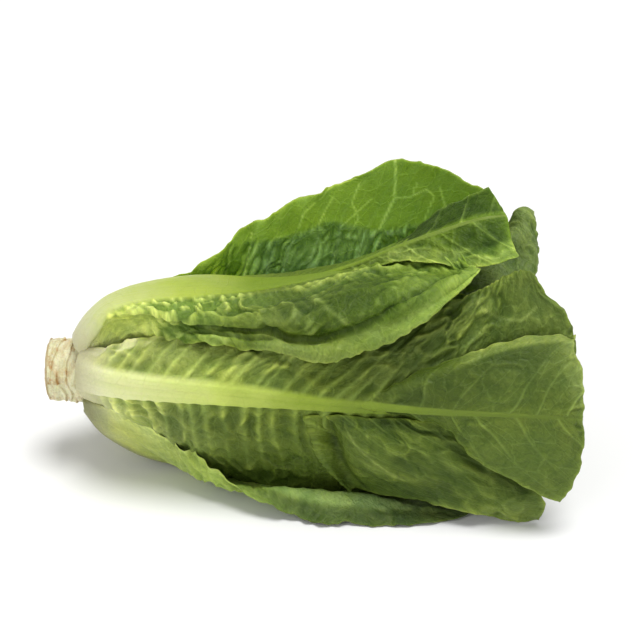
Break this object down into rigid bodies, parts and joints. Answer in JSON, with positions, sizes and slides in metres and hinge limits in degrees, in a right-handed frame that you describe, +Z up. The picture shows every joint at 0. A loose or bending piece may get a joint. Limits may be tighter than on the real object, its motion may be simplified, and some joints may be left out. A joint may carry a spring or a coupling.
{
  "type": "romaine lettuce head",
  "caption": "Whole head of romaine lettuce lying on its side: cut stem end and long ribbed leaves rolled round one another, opening out at the tips.",
  "frame": {"origin": "on the floor, under the middle of the head's footprint", "axes": "+X from the cut stem end to the leaf tips, +Z up with the head lying on its side, -Y the side of the broad front leaf"},
  "size_m": [0.2826, 0.1624, 0.1596],
  "materials": {
    "stem_butt": "moist cut plant stem, cream with browned patches",
    "leaf_front_outer": "waxy fresh leaf, satin",
    "leaf_top_outer": "waxy fresh leaf, satin",
    "leaf_bottom_outer": "waxy fresh leaf, satin",
    "leaf_back_outer": "waxy fresh leaf, satin, light shows through",
    "leaf_top_mid": "waxy fresh leaf, satin",
    "leaf_hidden": "waxy fresh leaf, satin",
    "leaf_mid": "crisp inner leaf, satin",
    "leaf_heart": "pale crisp heart leaf, satin"
  },
  "bodies": {
    "root": {"stem_butt": "stem_butt", "leaf_front_outer": "leaf_front_outer", "leaf_top_outer": "leaf_top_outer", "leaf_bottom_outer": "leaf_bottom_outer", "leaf_back_outer": "leaf_back_outer", "leaf_top_mid": "leaf_top_mid", "leaf_back_low": "leaf_hidden", "leaf_under_mid": "leaf_hidden", "leaf_mid_1": "leaf_mid", "leaf_mid_2": "leaf_mid", "leaf_mid_3": "leaf_mid", "leaf_mid_4": "leaf_mid", "leaf_mid_5": "leaf_mid", "leaf_mid_6": "leaf_mid", "leaf_heart_1": "leaf_heart", "leaf_heart_2": "leaf_heart", "leaf_heart_3": "leaf_heart", "leaf_heart_4": "leaf_heart", "leaf_heart_5": "leaf_heart", "leaf_heart_6": "leaf_heart", "leaf_heart_7": "leaf_heart", "leaf_heart_8": "leaf_heart"}
  },
  "joints": []
}
